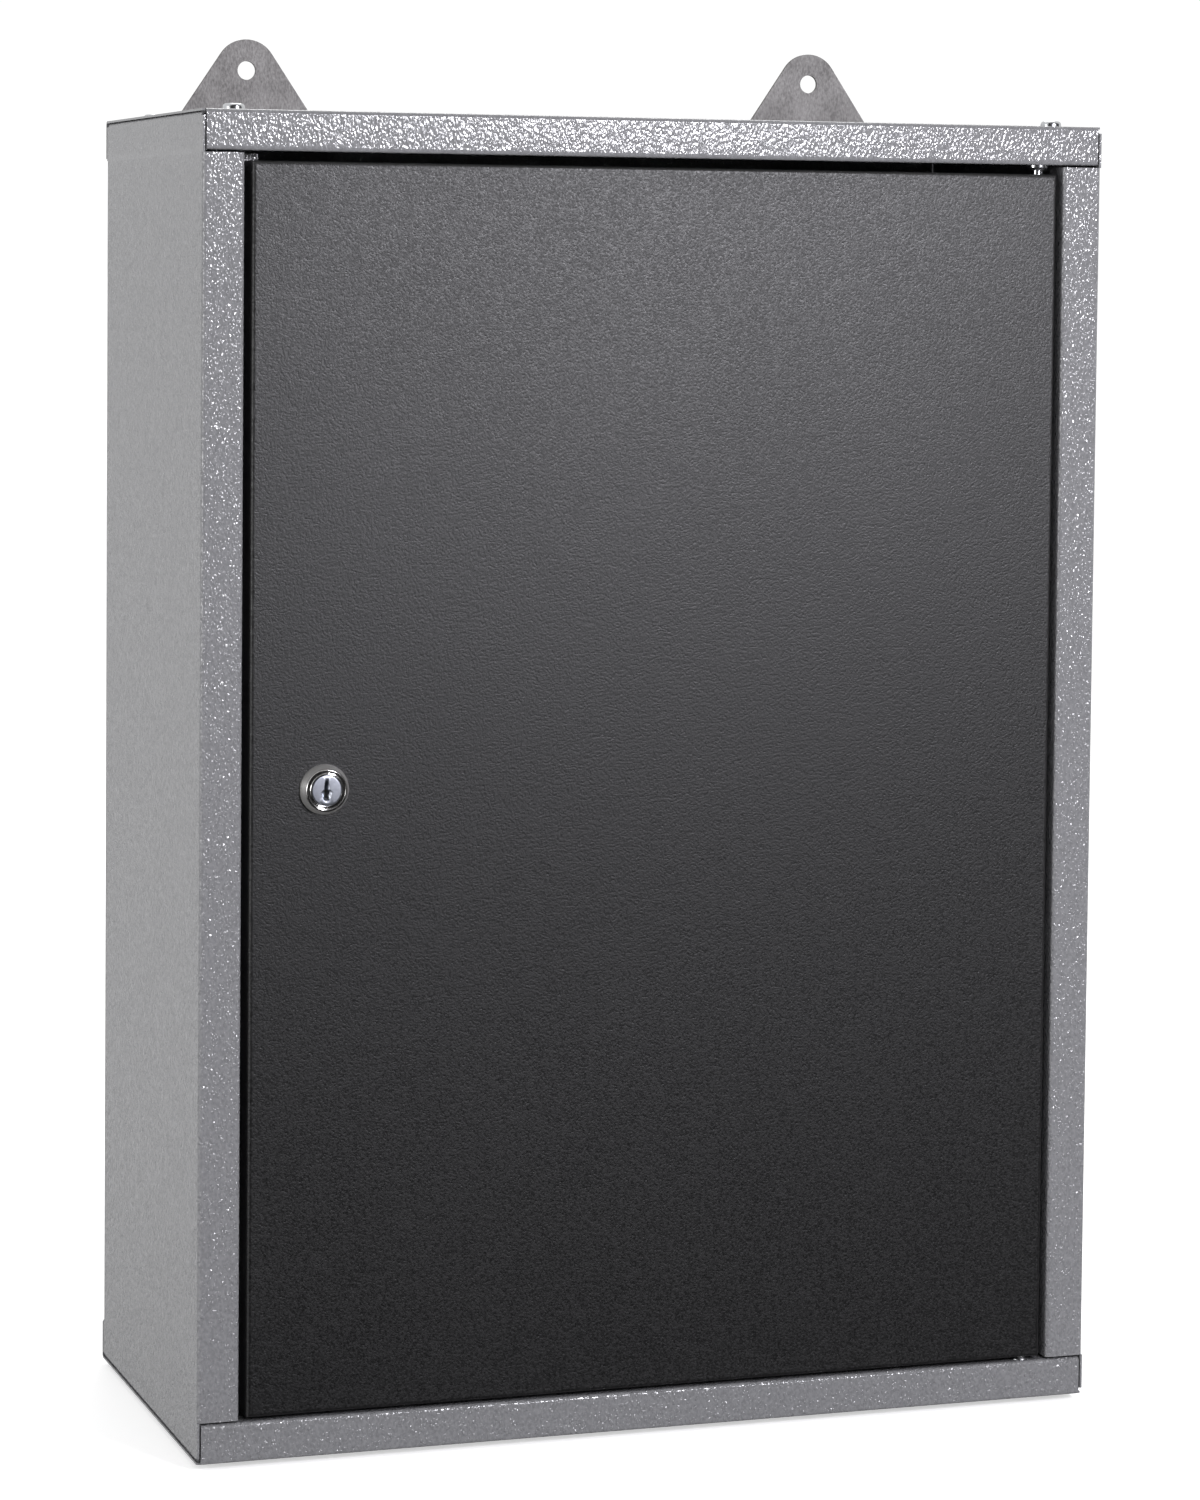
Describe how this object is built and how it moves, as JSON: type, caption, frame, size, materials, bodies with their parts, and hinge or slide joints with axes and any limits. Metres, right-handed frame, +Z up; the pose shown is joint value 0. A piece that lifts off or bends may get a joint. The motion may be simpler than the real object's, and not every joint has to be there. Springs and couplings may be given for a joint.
{
  "type": "lockable wall cabinet",
  "caption": "Shallow lockable sheet-steel wall cabinet: hammer-finish case, hinged black door with a keyed cam lock, folded shelves on slotted uprights, flat hanging brackets.",
  "frame": {"origin": "under the middle of the whole object, level with the lowest screw heads", "axes": "+X to the right seen from the front, +Y from the door to the wall, +Z up"},
  "size_m": [0.43, 0.207, 0.644],
  "materials": {
    "case_paint": "glossy silver-grey hammer-finish paint",
    "shelf_paint": "smooth silver-grey paint",
    "door_paint": "matt black powder coat with a fine grain",
    "bare_steel": "dull bare mild steel",
    "zinc_plate": "bright zinc plate",
    "aluminium_rivet": "plain aluminium",
    "bush_plastic": "natural nylon",
    "stop_rubber": "soft black rubber",
    "lock_chrome": "chrome plate",
    "plug_nickel": "satin nickel",
    "wafer_brass": "stamped brass"
  },
  "bodies": {
    "case": {"left_side_panel": "case_paint", "right_side_panel": "case_paint", "top_panel": "case_paint", "bottom_panel": "case_paint", "back_panel": "case_paint", "front_left_upright": "shelf_paint", "rear_left_upright": "shelf_paint", "front_right_upright": "shelf_paint", "rear_right_upright": "shelf_paint", "lower_shelf": "shelf_paint", "upper_shelf": "shelf_paint", "left_hanging_bracket": "bare_steel", "right_hanging_bracket": "bare_steel", "bracket_screws": "zinc_plate", "bracket_nuts": "zinc_plate", "top_panel_screws": "zinc_plate", "top_panel_nuts": "zinc_plate", "bottom_panel_screws": "zinc_plate", "bottom_panel_nuts": "zinc_plate", "upper_hinge_pin": "zinc_plate", "lower_hinge_pin": "zinc_plate", "upper_hinge_nut": "zinc_plate", "lower_hinge_nut": "zinc_plate", "lower_shelf_clips": "zinc_plate", "upper_shelf_clips": "zinc_plate", "side_rivets": "aluminium_rivet", "flange_rivets": "aluminium_rivet", "door_stop_pads": "stop_rubber"},
    "door": {"door_panel": "door_paint", "door_stiffener": "door_paint", "upper_hinge_bush": "bush_plastic", "lower_hinge_bush": "bush_plastic", "lock_housing": "lock_chrome", "lock_bezel": "lock_chrome", "lock_washer": "zinc_plate", "lock_nut": "zinc_plate"},
    "lock": {"lock_plug": "plug_nickel", "lock_wafers": "wafer_brass", "lock_cam": "zinc_plate", "cam_washer": "zinc_plate", "cam_screw": "zinc_plate"}
  },
  "joints": [
    {"name": "door_hinge", "type": "hinge", "parent": "case", "child": "door", "pos_m": [0.1852, -0.0925, 0.303], "axis": [0, 0, 1], "range_deg": [0, 115]},
    {"name": "lock_turn", "type": "hinge", "parent": "door", "child": "lock", "pos_m": [-0.1587, -0.0985, 0.303], "axis": [0, 1, 0], "range_deg": [0, 90]}
  ]
}
